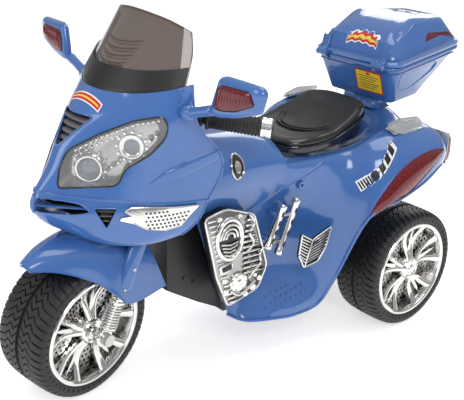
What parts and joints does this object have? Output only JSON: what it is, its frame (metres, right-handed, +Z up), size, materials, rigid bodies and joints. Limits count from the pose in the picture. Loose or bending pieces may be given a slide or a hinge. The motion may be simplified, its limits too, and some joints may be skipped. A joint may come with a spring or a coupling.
{
  "type": "ride-on motorcycle toy",
  "caption": "Child's three-wheeled battery ride-on motorcycle with faired nose, turning handlebar, hinged top box and geared rear-wheel drive.",
  "frame": {"origin": "on the floor under the middle of the overall box", "axes": "+X forward, +Y to the rider's left, +Z up"},
  "size_m": [0.969, 0.568, 0.606],
  "materials": {
    "blue_body": "gloss",
    "black_plastic": "satin",
    "chrome_plastic": "polished vacuum-metallised plastic",
    "tyre_plastic": "matte",
    "smoked_clear": "gloss",
    "clear_lens": "gloss",
    "red_lens": "gloss",
    "seat_vinyl": "satin",
    "steel": "satin",
    "nylon": "satin",
    "motor_can": "satin",
    "red_button": "gloss",
    "yellow_button": "gloss",
    "grey_plastic": "satin",
    "brass_gear": "satin"
  },
  "bodies": {
    "body": {"chassis": "black_plastic", "main_body": "blue_body", "front_fairing": "blue_body", "lower_fairing": "blue_body", "windscreen": "smoked_clear", "dash_panel": "blue_body", "headlight_reflectors": "chrome_plastic", "headlight_lenses": "clear_lens", "nose_grille": "black_plastic", "side_grilles": "chrome_plastic", "engine_cover_left": "chrome_plastic", "engine_cover_right": "chrome_plastic", "side_vents": "chrome_plastic", "fender_lamps": "clear_lens", "fender_reflectors": "red_lens", "tail_lamps": "red_lens", "box_bracket": "blue_body", "box_base": "blue_body", "steering_bushes": "nylon", "rear_axle": "steel", "rear_axle_nuts": "steel", "gearbox_housing": "grey_plastic", "motor": "motor_can", "battery_pack": "black_plastic", "battery_strap": "black_plastic", "charge_socket": "black_plastic", "body_screws": "steel"},
    "steering": {"steering_shaft": "steel", "fork_crown": "black_plastic", "fork_left": "chrome_plastic", "fork_right": "chrome_plastic", "front_mudguard": "blue_body", "front_axle": "steel", "front_axle_nuts": "steel", "handlebar": "black_plastic", "grip_left": "black_plastic", "grip_right": "black_plastic", "grip_caps": "chrome_plastic"},
    "front_wheel": {"front_tyre": "tyre_plastic", "front_hubcaps": "chrome_plastic", "front_wheel_bushes": "nylon"},
    "rear_left_wheel": {"rear_left_tyre": "tyre_plastic", "rear_left_hubcap": "chrome_plastic", "rear_left_bushes": "nylon"},
    "rear_right_wheel": {"rear_right_tyre": "tyre_plastic", "rear_right_hubcap": "chrome_plastic", "output_gear": "nylon"},
    "gear_1": {"gear_1": "nylon"},
    "gear_2": {"gear_2": "nylon"},
    "motor_pinion": {"motor_pinion": "brass_gear"},
    "seat": {"seat": "seat_vinyl"},
    "box_lid": {"box_lid": "blue_body"},
    "box_latch": {"box_latch": "black_plastic"},
    "horn_button": {"horn_button": "red_button"},
    "music_button": {"music_button": "yellow_button"},
    "power_switch": {"power_switch": "red_button"},
    "direction_switch": {"direction_switch": "black_plastic"},
    "foot_pedal": {"foot_pedal": "black_plastic"},
    "mirror_left": {"mirror_left": "blue_body"},
    "mirror_right": {"mirror_right": "blue_body"}
  },
  "joints": [
    {"name": "steering_turn", "type": "hinge", "parent": "body", "child": "steering", "pos_m": [0.35115, 0, 0.11695], "axis": [-0.3746, 0, 0.9272], "range_deg": [-28, 6]},
    {"name": "front_wheel_spin", "type": "hinge", "parent": "steering", "child": "front_wheel", "pos_m": [0.36601, 0.00267, 0.11685], "axis": [-0.1769, 0.9816, -0.0715], "continuous": true},
    {"name": "rear_left_wheel_spin", "type": "hinge", "parent": "body", "child": "rear_left_wheel", "pos_m": [-0.27375, 0.12, 0.115], "axis": [0, 1, 0], "continuous": true},
    {"name": "rear_right_wheel_spin", "type": "hinge", "parent": "body", "child": "rear_right_wheel", "pos_m": [-0.27375, -0.12, 0.115], "axis": [0, 1, 0], "continuous": true},
    {"name": "gear_2_spin", "type": "hinge", "parent": "body", "child": "gear_2", "pos_m": [-0.22442, -0.06, 0.13296], "axis": [0, 1, 0], "continuous": true},
    {"name": "gear_1_spin", "type": "hinge", "parent": "body", "child": "gear_1", "pos_m": [-0.20379, -0.052, 0.16868], "axis": [0, 1, 0], "continuous": true},
    {"name": "motor_spin", "type": "hinge", "parent": "body", "child": "motor_pinion", "pos_m": [-0.23497, -0.046, 0.18668], "axis": [0, 1, 0], "continuous": true},
    {"name": "seat_hinge", "type": "hinge", "parent": "body", "child": "seat", "pos_m": [-0.01175, 0, 0.359], "axis": [0, 1, 0], "range_deg": [0, 50]},
    {"name": "lid_hinge", "type": "hinge", "parent": "body", "child": "box_lid", "pos_m": [-0.21569, 0, 0.4903], "axis": [0, 1, 0], "range_deg": [0, 75]},
    {"name": "latch_hinge", "type": "hinge", "parent": "box_lid", "child": "box_latch", "pos_m": [-0.48081, 0, 0.52353], "axis": [0, 1, 0], "range_deg": [0, 80]},
    {"name": "power_rocker", "type": "hinge", "parent": "body", "child": "power_switch", "pos_m": [0.25425, 0.06, 0.424], "axis": [0, 1, 0], "range_deg": [-8, 8]},
    {"name": "direction_rocker", "type": "hinge", "parent": "body", "child": "direction_switch", "pos_m": [0.25425, -0.06, 0.424], "axis": [0, 1, 0], "range_deg": [-8, 8]},
    {"name": "pedal_press", "type": "hinge", "parent": "body", "child": "foot_pedal", "pos_m": [0.01025, -0.092, 0.121], "axis": [0, 1, 0], "range_deg": [0, 6], "stiffness_Nm_per_rad": 4},
    {"name": "mirror_left_turn", "type": "hinge", "parent": "body", "child": "mirror_left", "pos_m": [0.26625, 0.131, 0.475], "axis": [-0.034, 0.9515, 0.3058], "range_deg": [-15, 15]},
    {"name": "mirror_right_turn", "type": "hinge", "parent": "body", "child": "mirror_right", "pos_m": [0.26625, -0.131, 0.475], "axis": [-0.034, -0.9515, 0.3058], "range_deg": [-15, 15]},
    {"name": "horn_press", "type": "slide", "parent": "steering", "child": "horn_button", "axis": [0.0064, -0.0715, -0.9974], "range_m": [0, 0.002], "stiffness_N_per_m": 150},
    {"name": "music_press", "type": "slide", "parent": "steering", "child": "music_button", "axis": [0.0064, -0.0715, -0.9974], "range_m": [0, 0.002], "stiffness_N_per_m": 150}
  ],
  "couplings": [
    {"joint": "gear_2_spin", "follows": "rear_right_wheel_spin", "ratio": -4},
    {"joint": "gear_1_spin", "follows": "rear_right_wheel_spin", "ratio": 18},
    {"joint": "motor_spin", "follows": "rear_right_wheel_spin", "ratio": -90}
  ]
}
